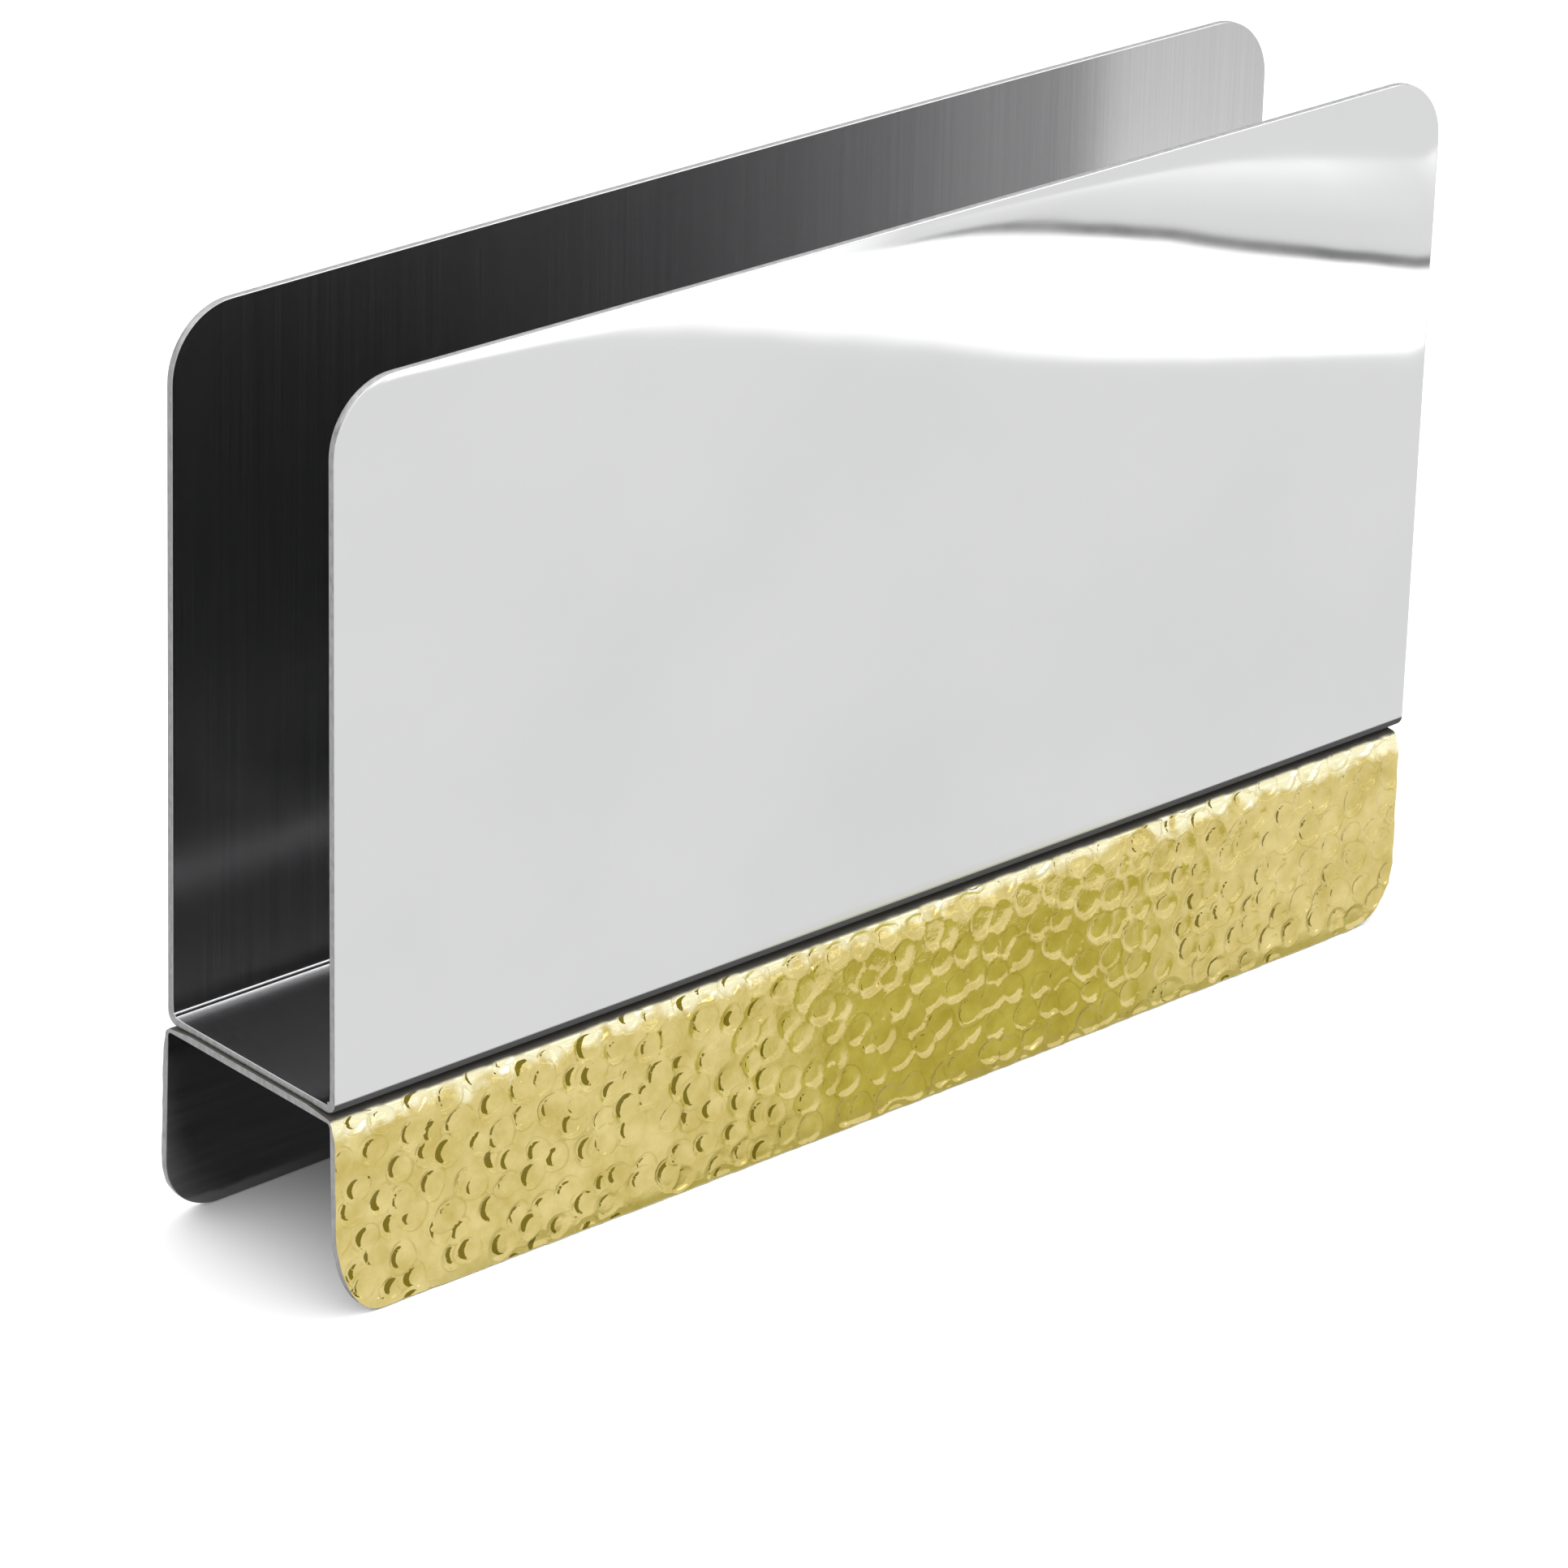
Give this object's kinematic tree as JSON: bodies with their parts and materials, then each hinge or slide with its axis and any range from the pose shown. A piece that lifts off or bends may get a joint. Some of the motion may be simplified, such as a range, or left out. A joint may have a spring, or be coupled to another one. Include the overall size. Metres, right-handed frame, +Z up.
{
  "type": "upright napkin holder",
  "caption": "Tall narrow open-topped sheet-metal channel that holds folded napkins on edge, standing on a low hammered channel base.",
  "frame": {"origin": "centre of the footprint, on the plane of the leg edges that rest on the table", "axes": "+X along the length of the tray, +Y from the front wall to the back wall, +Z up"},
  "size_m": [0.18, 0.0332, 0.118],
  "materials": {
    "polished_steel": "mirror polished outside, fine vertical brushing inside",
    "gold_hammered": "gold coloured and hammered outside, bare grey on the edges and inside",
    "rivet_steel": "plain bright"
  },
  "bodies": {
    "root": {"holder_channel": "polished_steel", "base_channel": "gold_hammered", "rivet_left": "rivet_steel", "rivet_centre": "rivet_steel", "rivet_right": "rivet_steel"}
  },
  "joints": []
}
